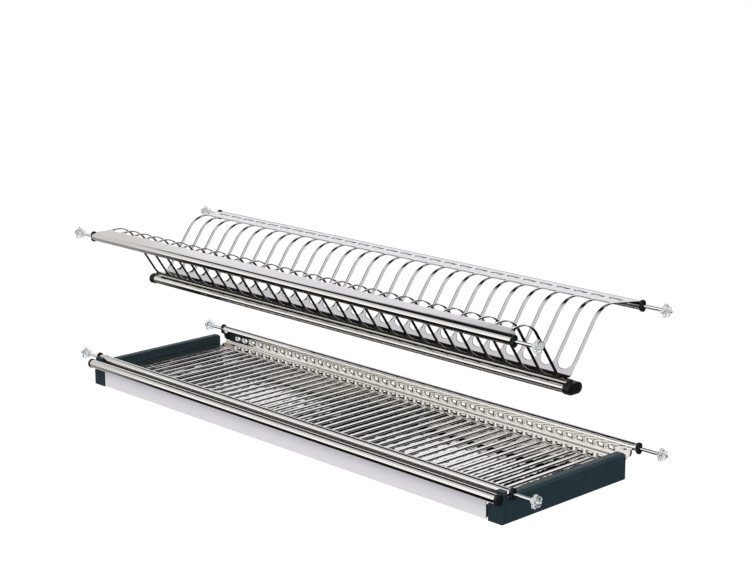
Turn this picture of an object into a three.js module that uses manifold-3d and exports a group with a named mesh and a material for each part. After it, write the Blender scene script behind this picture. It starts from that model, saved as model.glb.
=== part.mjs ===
// Two-tier dish drainer that hangs between the sides of a 900 mm wall cabinet.
// Millimetres. +X runs along the rails to the right, +Y to the back, +Z up.
import * as THREE from 'three';
import { mergeVertices } from 'three/addons/utils/BufferGeometryUtils.js';
import Module from 'manifold-3d';

const wasm = await Module();
wasm.setup();

const angle = THREE.MathUtils.degToRad;
const { cos, sin, tan } = Math;

// Driving dimensions: the cabinet and the two tiers
const cabinetClearWidth = 868;
const rodVisibleLength = 39; // from a rail's end to the cabinet's side
const railLength = cabinetClearWidth - 2 * rodVisibleLength;
const railHalf = railLength / 2;
const rackDepth = 228; // from a tier's front rail axis to its rear rail axis
const tierHeight = 178; // from the lower rail axes to the upper ones
const upperTierOffset = 2; // how far the upper tier hangs in front of the lower one
const sheetThickness = 1;
const sheetHalf = sheetThickness / 2;
const bendRadius = 4;
const seatGap = 0.3; // clearance between pieces that touch
const cutOverrun = 2; // how far a cut runs past the wall it opens
const sameSpot = 0.001; // points nearer than this are one corner

// Support rods and the lobed discs that stand against the cabinet's sides
const rodRadius = 2.25;
const rodHiddenLength = 60; // the part inside the rail at rest
const rodSteps = 8; // also for the bores that the rods slide in
const pinRadius = 1.6;
const pinLength = 6; // how far the rod's pin enters the cabinet's side
const pinChamferWidth = 0.5;
const discThickness = 5;
const discRadius = 8.5;
const discLobeDepth = 1.9;
const discLobes = 5;
const discLobeSteps = 4;
const discHubRadius = 4.4;
const discHubLength = 3;

// Rolled rails: a round tube in the sheet's rolled edge, a lobed cap in each end
const railTubeThickness = 0.6;
const railCapPlugThickness = 0.75;
const rodBore = rodRadius + seatGap;
const railPlugRadius = rodBore + railCapPlugThickness;
const railBore = railPlugRadius + seatGap;
const railTubeRadius = railBore + railTubeThickness;
const railTubeSteps = 12;
const rollTurn = angle(250); // how far the sheet's edge wraps round the tube
const rollSteps = 9;
const rollRadius = railTubeRadius + seatGap + sheetHalf; // to the middle of the sheet
const railCapThickness = 3.5;
const railCapLobeRadius = 4.7;
const railCapLobeOffset = 2.6;
const railCapPlugLength = 8;
const railCapSteps = 6;

// Plate comb: strips, the gaps between them and the bent profile
const stripPitch = 27.2;
const stripWidth = 4.6;
const combEndInset = 11.5; // the least left between a rail's end and the last strip
const combSpan = railLength - 2 * combEndInset - stripWidth;
const stripCount = Math.floor(combSpan / stripPitch) + 1;
const gapWidth = stripPitch - stripWidth;
const floorDrop = 67; // from the upper rail axes down to the trough floor
const troughWidth = 15.92;
const troughOffset = 7.69; // how far the trough's middle is in front of the rack's
const frontArchRadius = 33;
const frontArchInset = 29.2; // arch centre behind the front rail axis
const frontArchRise = 9.5; // from the rail axes up to the top of the arch's sheet
const frontArchDrop = frontArchRadius - frontArchRise;
const rearArchRadius = 36.8;
const rearArchInset = 41; // arch centre in front of the rear rail axis
const rearArchRise = 7.3;
const rearArchDrop = rearArchRadius - rearArchRise;
const archSteps = 4;
const foldSteps = 2;
const frontNotchRise = 3.5; // from the trough floor, along the leg, to the notch
const frontNotchRadius = 8;
const frontNotchSteps = 2;
const rearNotchRise = 7;
const rearNotchSteps = 3;
const frontFlangeWidth = 18; // from the rail axis to the end of the strips' gaps
const frontFlangeRadius = 5;
const frontFlangeSteps = 2;
const rearFlangeWidth = 39;
const rearFlangeRadius = 3;
const rearFlangeSteps = 1;
const flangeOvalLength = 14;
const flangeOvalWidth = 4.8;
const flangeOvalInset = 16.5; // from the rear rail axis to the ovals
const flangeOvalSteps = 2;
const legCutDepth = 6; // reach of a leg cut to each side of the sheet
const legCutOverlap = 5; // how far the leg cut and the arch cut share the strip

// Base rail under the trough
const baseRailWidth = 24;
const baseRailHeight = 12;
const baseRailThickness = 1.2;
const baseRailInset = 7; // from the rolled rails' ends to its own
const baseRailSteps = 6;
const spineWidth = 8;
const spineHeight = 3;
const baseCapThickness = 9;
const baseCapLipHeight = 1; // how far the cap stands proud of the rail
const baseCapTongueThickness = 3;
const baseCapPlugLength = 8;

// Shelf plate: slotted floor, walls and the row of ovals in the rear wall
const shelfDrop = 15.5; // from the lower rail axes down to the middle of the floor sheet
const slotPitch = 16.6;
const slotWidth = 8.6;
const slotEndInset = 19.5; // the least left between a side piece and the last slot
const slotFrontInset = 26; // from the front rail axis to the slots
const slotRearInset = 28.5;
const slotSteps = 3;
const wallOvalLength = 9;
const wallOvalHeight = 4.2;
const wallOvalDrop = 7.2; // from the rail axis to the ovals' middle
const wallOvalSteps = 2;
const shelfBendRadius = 3;
const wallTabLength = 9; // bare end of the rear wall beyond the side piece's inner face
const wallTabRadius = 5;
const wallTabSteps = 3;

// Side pieces: wall, front block, rail clip, groove for the shelf and runner for the tray
const sidePieceThickness = 12;
const sidePieceInset = 2; // from a rail's end to the outer face
const sidePieceTopDrop = 2; // from the rail axis down to the top edge
const sidePieceRearInset = 20; // from the rear rail axis to the rear end
const sidePieceFrontLength = 13; // from the front rail axis forward to the block's face
const sidePieceChamferWidth = 2.5;
const clipLipRise = 3.6; // height of the clip's lips above the rail axis
const clipLipThickness = 2;
const clipSteps = 10;
const shelfGrooveDepth = 3;
const blockWidth = 10; // how far the front block reaches inward from the wall
const blockDepth = 15;
const blockTopDrop = 14;
const runnerWidth = 21; // how far the runner reaches inward from the wall
const runnerThickness = 1.8;
const pocketWallThickness = 2.6;
const pocketRibThickness = 3;
const pocketCount = 5;
const recessRadius = 3.4;
const recessPinRadius = 1.8;
const recessDepth = 1.4;
const recessRise = 11; // from the block's underside to the recess's centre
const recessSteps = 8;

// Drip tray and its front
const panSideGap = 13; // from the pan to the side piece's wall
const panTopGap = 3.4; // from the pan's rim to the shelf's underside
const panWallThickness = 0.8;
const panHeight = 14;
const panRearInset = 23; // from the rear rail axis to the pan's rear wall
const panCornerRadius = 6;
const panCornerSteps = 4;
const lipOffset = 18; // lip axis in front of the front rail axis
const lipDrop = 4;
const lipRadius = 5.4; // to the middle of the sheet
const lipInset = 6; // from the rolled rails' ends to the lip's
const lipTurn = angle(300);
const lipSteps = 11;
const frontSheetThickness = 1.2;
const fasciaRise = 1.1; // from the side pieces' underside to the fascia's lower edge
const lipCapThickness = 4;
const lipCapSleeveThickness = 0.7;
const lipCapPlugLength = 7;
const lipCapSteps = 12;

// Finishes
function finish(color, roughness, metalness) {
  return () => new THREE.MeshStandardMaterial({ color, roughness, metalness });
}
const polishedSteel = finish(0xd9d6d3, 0.14, 1);
const chromedSteel = finish(0xe3e6e8, 0.08, 1);
const blackPlastic = finish(0x15181b, 0.42, 0);
const slatePlastic = finish(0x20303a, 0.48, 0);
const clearPlastic = finish(0xe6ecef, 0.12, 0);

function toSolid(geometry) {
  const bare = geometry.clone();
  bare.deleteAttribute('normal');
  bare.deleteAttribute('uv');
  const merged = mergeVertices(bare);
  const vertProperties = new Float32Array(merged.attributes.position.array);
  const triVerts = new Uint32Array(merged.index.array);
  return new wasm.Manifold(new wasm.Mesh({ numProp: 3, vertProperties, triVerts }));
}

function toGeometry(solid) {
  const mesh = solid.getMesh();
  const geometry = new THREE.BufferGeometry();
  geometry.setAttribute('position', new THREE.BufferAttribute(new Float32Array(mesh.vertProperties), 3));
  geometry.setIndex(new THREE.BufferAttribute(new Uint32Array(mesh.triVerts), 1));
  return geometry;
}

function cut(body, tools) {
  return tools.reduce((solid, tool) => solid.subtract(toSolid(tool)), body);
}

function join(body, additions) {
  return additions.reduce((solid, addition) => solid.add(toSolid(addition)), body);
}

// The same piece for the other side, with its faces turned to point out again
function mirrored(geometry) {
  const copy = mergeVertices(geometry.clone().scale(-1, 1, 1));
  const index = copy.index.array;
  for (let i = 0; i < index.length; i += 3) {
    [index[i], index[i + 1]] = [index[i + 1], index[i]];
  }
  return copy;
}

// Extrudes an outline drawn in the plane of the axes across and up
function prism(outline, origin, across, up, from, to, hole) {
  const shape = new THREE.Shape(outline.filter((point, i) => point.distanceTo(outline.at(i - 1)) > sameSpot));
  if (hole) shape.holes.push(new THREE.Path(hole));
  const out = new THREE.Vector3().crossVectors(across, up);
  const geometry = new THREE.ExtrudeGeometry(shape, { depth: to - from, bevelEnabled: false });
  geometry.translate(0, 0, from);
  geometry.applyMatrix4(new THREE.Matrix4().makeBasis(across, up, out));
  return geometry.translate(origin.x, origin.y, origin.z);
}

const axisX = new THREE.Vector3(1, 0, 0);
const axisY = new THREE.Vector3(0, 1, 0);
const axisZ = new THREE.Vector3(0, 0, 1);
const centre = new THREE.Vector3();

// An outline in Y and Z that runs along X, and one in X and Y that runs upward
function alongX(outline, from, to, hole) {
  return prism(outline, centre, axisY, axisZ, from, to, hole);
}
function upward(outline, from, to) {
  return prism(outline, centre, axisX, axisY, from, to);
}

function block(x0, x1, y0, y1, z0, z1) {
  const geometry = new THREE.BoxGeometry(x1 - x0, y1 - y0, z1 - z0);
  return geometry.translate((x0 + x1) / 2, (y0 + y1) / 2, (z0 + z1) / 2);
}

function polygon(points) {
  return points.map(([x, y]) => new THREE.Vector2(x, y));
}

// Points round part of a circle, or the single point at its start for no steps
function arc(x, y, radius, from, to, steps) {
  return Array.from({ length: steps + 1 }, (_, i) => {
    const turn = from + (to - from) * i / Math.max(steps, 1);
    return new THREE.Vector2(x + radius * cos(turn), y + radius * sin(turn));
  });
}

function circle(x, y, radius, steps) {
  return arc(x, y, radius, 0, 2 * Math.PI, steps).slice(1);
}

// A rectangle with its own corner radius at the low and at the high end
function roundedBar(x0, x1, y0, y1, lowRadius, highRadius, steps) {
  const quarter = Math.PI / 2;
  return [
    ...arc(x0 + lowRadius, y0 + lowRadius, lowRadius, -2 * quarter, -quarter, lowRadius > 0 ? steps : 0),
    ...arc(x1 - lowRadius, y0 + lowRadius, lowRadius, -quarter, 0, lowRadius > 0 ? steps : 0),
    ...arc(x1 - highRadius, y1 - highRadius, highRadius, 0, quarter, highRadius > 0 ? steps : 0),
    ...arc(x0 + highRadius, y1 - highRadius, highRadius, quarter, 2 * quarter, highRadius > 0 ? steps : 0),
  ];
}

// A round bar and a tube along X, centred on the point y, z
function disk(y, z, radius, x0, x1, steps) {
  return alongX(circle(y, z, radius, steps), x0, x1);
}
function ring(y, z, outer, inner, x0, x1, steps) {
  return alongX(circle(y, z, outer, steps), x0, x1, circle(y, z, inner, steps));
}

// A slot with round ends, lying along the outline's first axis
function oval(x, y, length, width, steps) {
  const reach = (length - width) / 2;
  return [
    ...arc(x + reach, y, width / 2, -Math.PI / 2, Math.PI / 2, steps),
    ...arc(x - reach, y, width / 2, Math.PI / 2, 1.5 * Math.PI, steps),
  ];
}

// Rounds the corner at b of the line a, b, c
function bend(a, b, c, radius, steps) {
  const back = a.clone().sub(b).normalize();
  const ahead = c.clone().sub(b).normalize();
  const half = Math.acos(back.dot(ahead)) / 2;
  const middle = back.clone().add(ahead).normalize().multiplyScalar(radius / sin(half)).add(b);
  const start = back.multiplyScalar(radius / tan(half)).add(b).sub(middle).angle();
  const end = ahead.multiplyScalar(radius / tan(half)).add(b).sub(middle).angle();
  const turn = Math.atan2(sin(end - start), cos(end - start));
  return arc(middle.x, middle.y, radius, start, start + turn, steps);
}

// The closed outline of a sheet that follows a centre line, half its thickness to each side
function sheetOutline(line, thickness) {
  const normals = line.map((point, i) => {
    const before = line[Math.max(i - 1, 0)];
    const after = line[Math.min(i + 1, line.length - 1)];
    const along = after.clone().sub(before).normalize();
    const step = point.clone().sub(i > 0 ? before : after).normalize();
    const widening = 1 / Math.abs(along.dot(step));
    return new THREE.Vector2(-along.y, along.x).multiplyScalar(widening * thickness / 2);
  });
  const left = line.map((point, i) => point.clone().add(normals[i]));
  const right = line.map((point, i) => point.clone().sub(normals[i])).reverse();
  return [...left, ...right];
}

// Common tangent over two circles: the angle at which both are touched, counted from +Y
function tangentOver(low, lowRadius, high, highRadius) {
  const between = high.clone().sub(low);
  const slope = Math.atan2(between.y, between.x) + Math.asin((highRadius - lowRadius) / between.length());
  return slope + Math.PI / 2;
}

// Where a line from a point touches a circle, as the angle round it, on the side given by 1 or -1
function tangentFrom(point, middle, radius, side) {
  const reach = point.clone().sub(middle);
  return reach.angle() + side * Math.acos(radius / reach.length());
}

const rack = new THREE.Group();
const upperTier = new THREE.Group();
const lowerTier = new THREE.Group();
upperTier.position.set(0, -upperTierOffset, tierHeight);
rack.add(upperTier, lowerTier);

function add(tier, name, geometry, material, x = 0, y = 0, turn = 0) {
  const mesh = new THREE.Mesh(geometry, material());
  mesh.name = name;
  mesh.position.set(x, y, 0);
  mesh.rotation.z = turn;
  tier.add(mesh);
}

// Plate comb: one sheet, rolled front rail, arched front strips, trough, arched rear strips, rolled rear rail
const frontRailAxis = new THREE.Vector2(-rackDepth, 0);
const rearRailAxis = new THREE.Vector2(0, 0);
const frontArch = new THREE.Vector2(-rackDepth + frontArchInset, -frontArchDrop);
const rearArch = new THREE.Vector2(-rearArchInset, -rearArchDrop);
const frontTouch = tangentOver(frontRailAxis, rollRadius, frontArch, frontArchRadius);
const rearTouch = tangentOver(rearArch, rearArchRadius, rearRailAxis, rollRadius);
const troughMiddle = -rackDepth / 2 - troughOffset;
const frontCorner = new THREE.Vector2(troughMiddle - troughWidth / 2, -floorDrop);
const rearCorner = new THREE.Vector2(troughMiddle + troughWidth / 2, -floorDrop);
const frontLegTurn = tangentFrom(frontCorner, frontArch, frontArchRadius, 1) - 2 * Math.PI;
const rearLegTurn = tangentFrom(rearCorner, rearArch, rearArchRadius, -1);
const frontLegAngle = Math.PI / 2 - frontLegTurn;
const rearLegAngle = rearLegTurn - Math.PI / 2;
const frontLegTop = arc(frontArch.x, frontArch.y, frontArchRadius, frontLegTurn, frontLegTurn, 0)[0];
const rearLegTop = arc(rearArch.x, rearArch.y, rearArchRadius, rearLegTurn, rearLegTurn, 0)[0];
const frontLegLength = frontLegTop.distanceTo(frontCorner);
const rearLegLength = rearLegTop.distanceTo(rearCorner);
const combLine = [
  ...arc(-rackDepth, 0, rollRadius, frontTouch + rollTurn, frontTouch, rollSteps),
  ...arc(frontArch.x, frontArch.y, frontArchRadius, frontTouch, frontLegTurn, archSteps),
  ...bend(frontLegTop, frontCorner, rearCorner, bendRadius, foldSteps),
  ...bend(frontCorner, rearCorner, rearLegTop, bendRadius, foldSteps),
  ...arc(rearArch.x, rearArch.y, rearArchRadius, rearLegTurn, rearTouch, archSteps),
  ...arc(0, 0, rollRadius, rearTouch, rearTouch - rollTurn, rollSteps),
];
const combSheet = toSolid(alongX(sheetOutline(combLine, sheetThickness), -railHalf, railHalf));

// The gaps between the strips, each opened by a cut through the leg and a cut down through the arch
const archTop = rollRadius + frontArchRadius;
function legGap(x, corner, up, rise, radius, length, steps) {
  const outline = roundedBar(-gapWidth / 2, gapWidth / 2, rise, length + legCutOverlap, radius, 0, steps);
  const origin = new THREE.Vector3(x, corner.x, corner.y);
  return prism(outline, origin, axisX, up, -legCutDepth, legCutDepth);
}
function archGap(x, y0, y1, frontRadius, rearRadius, legTop, steps) {
  const outline = roundedBar(x - gapWidth / 2, x + gapWidth / 2, y0, y1, frontRadius, rearRadius, steps);
  return upward(outline, legTop - legCutDepth - legCutOverlap, archTop);
}
const frontLegUp = new THREE.Vector3(0, -cos(frontLegAngle), sin(frontLegAngle));
const rearLegUp = new THREE.Vector3(0, cos(rearLegAngle), sin(rearLegAngle));
const frontGapEnd = -rackDepth + frontFlangeWidth;
const rearGapEnd = -rearFlangeWidth;
const archOverlap = legCutOverlap * cos(rearLegAngle);
const gapCentres = Array.from({ length: stripCount - 1 }, (_, i) => (i + 1 - stripCount / 2) * stripPitch);
const combCuts = gapCentres.flatMap((x) => [
  legGap(x, frontCorner, frontLegUp, frontNotchRise, frontNotchRadius, frontLegLength, frontNotchSteps),
  archGap(x, frontGapEnd, frontLegTop.x + archOverlap, frontFlangeRadius, 0, frontLegTop.y, frontFlangeSteps),
  legGap(x, rearCorner, rearLegUp, rearNotchRise, gapWidth / 2, rearLegLength, rearNotchSteps),
  archGap(x, rearLegTop.x - archOverlap, rearGapEnd, 0, rearFlangeRadius, rearLegTop.y, rearFlangeSteps),
  upward(oval(x, -flangeOvalInset, flangeOvalLength, flangeOvalWidth, flangeOvalSteps), 0, archTop),
]);

// Beyond the last strips only the rails go on, and the flanges taper to them
const combEnd = (stripCount - 1) / 2 * stripPitch + stripWidth / 2;
const rollOuter = rollRadius + sheetHalf;
const past = railHalf + cutOverrun;
const taperEnd = railHalf - cutOverrun;
const endCut = upward(polygon([
  [combEnd, frontGapEnd],
  [taperEnd, -rackDepth + rollOuter],
  [past, -rackDepth + rollOuter],
  [past, -rollOuter],
  [taperEnd, -rollOuter],
  [combEnd, rearGapEnd],
]), -floorDrop - bendRadius, archTop);
const comb = toGeometry(cut(combSheet, [...combCuts, endCut, mirrored(endCut)]));
add(upperTier, 'plate_comb', comb, polishedSteel);

// Rail tubes, rail caps, support rods and wall discs, alike on both tiers
const railTube = ring(0, 0, railTubeRadius, railBore, -railHalf, railHalf, railTubeSteps);

// Figure-of-eight cap: two lobes, one above the other, over a plug with the rod's bore
const waist = Math.asin(railCapLobeOffset / railCapLobeRadius);
const capOutline = [
  ...arc(0, railCapLobeOffset, railCapLobeRadius, -waist, Math.PI + waist, railCapSteps),
  ...arc(0, -railCapLobeOffset, railCapLobeRadius, Math.PI - waist, 2 * Math.PI + waist, railCapSteps),
];
const capEnd = seatGap + railCapThickness;
const capPlate = alongX(capOutline, seatGap, capEnd, circle(0, 0, rodBore, rodSteps));
const capPlug = ring(0, 0, railPlugRadius, rodBore, -railCapPlugLength, capEnd / 2, rodSteps);
const railCap = toGeometry(join(toSolid(capPlate), [capPlug]));

// The rod steps down to a pin at its outer end, and the disc stands on that step
const wallFace = rodVisibleLength; // from the rail's end to the cabinet's side
const rodStep = wallFace - discThickness / 2;
const pinEnd = wallFace + pinLength;
const rod = new THREE.LatheGeometry(polygon([
  [0, -rodHiddenLength],
  [rodRadius, -rodHiddenLength],
  [rodRadius, rodStep],
  [pinRadius, rodStep],
  [pinRadius, pinEnd - pinChamferWidth],
  [pinRadius - pinChamferWidth, pinEnd],
  [0, pinEnd],
]), rodSteps);
rod.rotateZ(-Math.PI / 2);

// Lobed disc with a hub that takes the rod, drawn as a flower with one lobe at the top
const discPoints = Array.from({ length: discLobes * discLobeSteps }, (_, i) => {
  const turn = 2 * Math.PI * i / (discLobes * discLobeSteps);
  const radius = discRadius - discLobeDepth * (1 - cos(discLobes * turn)) / 2;
  return new THREE.Vector2(-radius * sin(turn), radius * cos(turn));
});
const discInner = wallFace - discThickness;
const discPlate = alongX(discPoints, discInner, wallFace);
const discHub = disk(0, 0, discHubRadius, discInner - discHubLength, discInner + seatGap, rodSteps);
const discSocket = disk(0, 0, rodBore, discInner - discHubLength - cutOverrun, rodStep + seatGap, rodSteps);
const discHole = disk(0, 0, pinRadius + seatGap, discInner, wallFace + cutOverrun, rodSteps);
const disc = toGeometry(cut(join(toSolid(discPlate), [discHub]), [discSocket, discHole]));

for (const [tier, tierName] of [[upperTier, 'upper'], [lowerTier, 'lower']]) {
  for (const [place, y] of [['front', -rackDepth], ['rear', 0]]) {
    add(tier, `${tierName}_${place}_rail`, railTube.clone(), polishedSteel, 0, y);
    for (const [side, x, turn] of [['left', -railHalf, Math.PI], ['right', railHalf, 0]]) {
      const corner = `${tierName}_${place}_${side}`;
      add(tier, `${corner}_rail_cap`, railCap.clone(), blackPlastic, x, y, turn);
      add(tier, `${corner}_rod`, rod.clone(), chromedSteel, x, y, turn);
      add(tier, `${corner}_disc`, disc.clone(), clearPlastic, x, y, turn);
    }
  }
}

// Base rail: a roll-formed oval tube with a spine that carries the trough, and a cap in each end
const baseY = troughMiddle;
const spineTop = -floorDrop - sheetHalf - seatGap;
const baseZ = spineTop - spineHeight - baseRailHeight / 2;
const baseHalf = railHalf - baseRailInset;
const spineStart = baseZ + baseRailHeight / 2 - baseRailThickness / 2;
const spineFront = baseY - spineWidth / 2;
const spineBack = baseY + spineWidth / 2;
function baseOval(grown, x0, x1) {
  const outline = oval(baseY, baseZ, baseRailWidth + 2 * grown, baseRailHeight + 2 * grown, baseRailSteps);
  return alongX(outline, x0, x1);
}
const baseTube = toSolid(baseOval(0, -baseHalf, baseHalf));
const spine = block(-baseHalf, baseHalf, spineFront, spineBack, spineStart, spineTop);
const baseBore = baseOval(-baseRailThickness, -baseHalf - cutOverrun, baseHalf + cutOverrun);
add(upperTier, 'base_rail', toGeometry(cut(join(baseTube, [spine]), [baseBore])), polishedSteel);

const baseCapStart = baseHalf + seatGap;
const baseCapEnd = baseCapStart + baseCapThickness;
const baseCapBody = toSolid(baseOval(baseCapLipHeight, baseCapStart, baseCapEnd));
const plugShrink = baseRailThickness + seatGap;
const baseCapPlug = baseOval(-plugShrink, baseHalf - baseCapPlugLength, baseCapEnd - baseCapLipHeight);
const tongueEnd = baseCapStart + baseCapTongueThickness;
const baseCapTongue = block(baseCapStart, tongueEnd, spineFront, spineBack, baseZ, spineTop);
const baseCapDish = baseOval(-baseRailThickness, baseCapEnd - baseCapLipHeight, baseCapEnd + cutOverrun);
const baseCap = toGeometry(cut(join(baseCapBody, [baseCapPlug, baseCapTongue]), [baseCapDish]));
add(upperTier, 'base_rail_cap_right', baseCap, blackPlastic);
add(upperTier, 'base_rail_cap_left', mirrored(baseCap), blackPlastic);

// Shelf plate: rolled front rail, low wall, slotted floor, low wall with ovals, rolled rear rail
const frontWallY = -rackDepth + rollRadius;
const rearWallY = -rollRadius;
const shelfCorners = polygon([
  [frontWallY, 0],
  [frontWallY, -shelfDrop],
  [rearWallY, -shelfDrop],
  [rearWallY, 0],
]);
const shelfLine = [
  ...arc(-rackDepth, 0, rollRadius, rollTurn, 0, rollSteps),
  ...bend(...shelfCorners.slice(0, 3), shelfBendRadius, foldSteps),
  ...bend(...shelfCorners.slice(1, 4), shelfBendRadius, foldSteps),
  ...arc(0, 0, rollRadius, Math.PI, Math.PI - rollTurn, rollSteps),
];
const shelfSheet = toSolid(alongX(sheetOutline(shelfLine, sheetThickness), -railHalf, railHalf));
const rearWallFace = new THREE.Vector3(0, rearWallY, 0);
const sidePieceInner = railHalf - sidePieceInset - sidePieceThickness; // from the middle of the rack
const slotSpan = 2 * (sidePieceInner - slotEndInset) - slotWidth;
const slotCount = Math.floor(slotSpan / slotPitch) + 1;
const slotCentres = Array.from({ length: slotCount }, (_, i) => (i - (slotCount - 1) / 2) * slotPitch);
const slotLength = rackDepth - slotFrontInset - slotRearInset;
const slotMiddle = -slotRearInset - slotLength / 2;
const floorFace = new THREE.Vector3(0, 0, -shelfDrop);
const shelfCuts = slotCentres.flatMap((x) => {
  const slot = oval(slotMiddle, -x, slotLength, slotWidth, slotSteps);
  const wallOval = oval(x, -wallOvalDrop, wallOvalLength, wallOvalHeight, wallOvalSteps);
  return [
    prism(slot, floorFace, axisY, axisX.clone().negate(), -cutOverrun, cutOverrun),
    prism(wallOval, rearWallFace, axisX, axisZ, -cutOverrun, cutOverrun),
  ];
});

// The floor ends in the side pieces' grooves, the front wall before them, and the rear wall runs on as a tab
const floorEnd = sidePieceInner + shelfGrooveDepth - seatGap;
const frontWallEnd = sidePieceInner - seatGap;
const tabEnd = sidePieceInner + wallTabLength;
const sheetBottom = -shelfDrop - cutOverrun;
const bendTop = -shelfDrop + shelfBendRadius;
const tabCornerX = tabEnd - wallTabRadius;
const tabOutline = [
  ...polygon([
    [tabCornerX, sheetBottom],
    [past, sheetBottom],
    [past, -rollOuter],
    [tabEnd, -rollOuter],
  ]),
  ...arc(tabCornerX, bendTop + wallTabRadius, wallTabRadius, 0, -Math.PI / 2, wallTabSteps),
];
const shelfEndCuts = [
  block(floorEnd, past, frontWallY - cutOverrun, rearWallY + sheetThickness, sheetBottom, bendTop),
  block(frontWallEnd, past, frontWallY - sheetThickness, frontWallY + shelfBendRadius, sheetBottom, 0),
  prism(tabOutline, rearWallFace, axisX, axisZ, -cutOverrun, cutOverrun),
];
const shelf = cut(shelfSheet, [...shelfCuts, ...shelfEndCuts, ...shelfEndCuts.map(mirrored)]);
add(lowerTier, 'shelf_plate', toGeometry(shelf), polishedSteel);

// Side piece: a wall in Y and Z with an open clip for the front rail, a front block and a runner
const sideFront = -rackDepth - sidePieceFrontLength;
const sideRear = -sidePieceRearInset;
const sideOuter = sidePieceInner + sidePieceThickness;
const panRimZ = -shelfDrop - sheetHalf - panTopGap;
const panBottom = panRimZ - panHeight;
const blockBottom = panBottom - seatGap - runnerThickness;
const clipRadius = rollOuter + seatGap;
const clipMouth = Math.asin(clipLipRise / clipRadius);
const clipLipY = -rackDepth + clipRadius * cos(clipMouth);
const clipShoulder = -rackDepth + clipRadius + 2 * clipLipThickness;
const lipCapRadius = lipRadius + frontSheetThickness / 2 + lipCapSleeveThickness;
const lipY = -rackDepth - lipOffset;
const hornFront = lipY + lipCapRadius + 2 * seatGap;
const sideOutline = [
  ...polygon([
    [sideFront, blockBottom],
    [sideRear, blockBottom],
    [sideRear, -sidePieceTopDrop - sidePieceChamferWidth],
    [sideRear - sidePieceChamferWidth, -sidePieceTopDrop],
    [clipShoulder, -sidePieceTopDrop],
    [clipLipY + clipLipThickness, clipLipRise],
  ]),
  ...arc(-rackDepth, 0, clipRadius, clipMouth, -Math.PI - clipMouth, clipSteps),
  ...polygon([
    [hornFront, clipLipRise],
    [hornFront, -blockTopDrop],
    [sideFront, -blockTopDrop],
  ]),
];
const sideWall = toSolid(alongX(sideOutline, sidePieceInner, sideOuter));
const blockRear = sideFront + blockDepth;
const blockInner = sidePieceInner - blockWidth;
const blockOuter = sideOuter - pocketWallThickness;
const frontBlock = block(blockInner, blockOuter, sideFront, blockRear, blockBottom, -blockTopDrop);
const runnerInner = sidePieceInner - runnerWidth;
const runnerEnd = sideRear - sidePieceChamferWidth;
const runner = block(runnerInner, sidePieceInner + pocketWallThickness, blockRear - cutOverrun, runnerEnd,
  blockBottom, blockBottom + runnerThickness);
const grooveReach = sheetHalf + seatGap;
const shelfGroove = block(sidePieceInner - cutOverrun, sidePieceInner + shelfGrooveDepth,
  -rackDepth + clipRadius, sideRear + cutOverrun, -shelfDrop - grooveReach, -shelfDrop + grooveReach);
const chamferCut = prism(polygon([
  [sideOuter - sidePieceChamferWidth, -sidePieceTopDrop + cutOverrun],
  [sideOuter - sidePieceChamferWidth, -sidePieceTopDrop],
  [sideOuter, -sidePieceTopDrop - sidePieceChamferWidth],
  [sideOuter + cutOverrun, -sidePieceTopDrop - sidePieceChamferWidth],
  [sideOuter + cutOverrun, -sidePieceTopDrop + cutOverrun],
]), new THREE.Vector3(0, sideRear + cutOverrun, 0), axisX, axisZ, 0, sideRear + cutOverrun - clipShoulder);

// Moulding pockets in the side piece's inner face, between the shelf groove and the runner
const pocketTop = -shelfDrop - sheetHalf - pocketWallThickness;
const pocketBottom = blockBottom + runnerThickness + pocketWallThickness;
const pocketStep = (sideRear - blockRear) / pocketCount;
const pockets = Array.from({ length: pocketCount }, (_, i) => {
  const start = blockRear + i * pocketStep;
  return block(sidePieceInner - cutOverrun, sideOuter - pocketWallThickness,
    start, start + pocketStep - pocketRibThickness, pocketBottom, pocketTop);
});
const recessX = (blockInner + sideOuter) / 2;
const recessZ = blockBottom + recessRise;
const blockFace = new THREE.Vector3(0, sideFront, 0);
const recess = prism(circle(recessX, recessZ, recessRadius, recessSteps), blockFace, axisX, axisZ,
  -recessDepth, cutOverrun, circle(recessX, recessZ, recessPinRadius, recessSteps));
const sidePieceCuts = [shelfGroove, chamferCut, ...pockets, recess];
const sidePiece = toGeometry(cut(join(sideWall, [frontBlock, runner]), sidePieceCuts));
add(lowerTier, 'side_piece_right', sidePiece, slatePlastic);
add(lowerTier, 'side_piece_left', mirrored(sidePiece), slatePlastic);

// Drip tray: a shallow pan that rides on the side pieces' runners
const panHalf = sidePieceInner - panSideGap;
const fasciaY = lipY + lipRadius;
const panFront = fasciaY + frontSheetThickness / 2 + seatGap;
const panRear = -panRearInset;
function panOutline(inset) {
  const corner = panCornerRadius - inset;
  const across = panHalf - inset;
  return roundedBar(-across, across, panFront + inset, panRear - inset, corner, corner, panCornerSteps);
}
const panBody = toSolid(upward(panOutline(0), panBottom, panRimZ));
const panHollow = upward(panOutline(panWallThickness), panBottom + panWallThickness, panRimZ + cutOverrun);
add(lowerTier, 'drip_tray', toGeometry(cut(panBody, [panHollow])), polishedSteel);

// Tray front: a flat fascia whose top edge rolls forward into the round lip
const lipHalf = railHalf - lipInset;
const fasciaBottom = blockBottom + fasciaRise;
const trayFrontLine = [
  new THREE.Vector2(fasciaY, fasciaBottom),
  ...arc(lipY, -lipDrop, lipRadius, 0, lipTurn, lipSteps),
];
const trayFrontOutline = sheetOutline(trayFrontLine, frontSheetThickness);
const trayFrontSheet = toSolid(alongX(trayFrontOutline, -lipHalf, lipHalf));
const fasciaTrim = block(panHalf + seatGap, lipHalf + cutOverrun,
  fasciaY - frontSheetThickness, fasciaY + frontSheetThickness,
  fasciaBottom - cutOverrun, -lipDrop - lipRadius - frontSheetThickness);
const trayFront = toGeometry(cut(trayFrontSheet, [fasciaTrim, mirrored(fasciaTrim)]));
add(lowerTier, 'tray_front', trayFront, polishedSteel);

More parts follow.
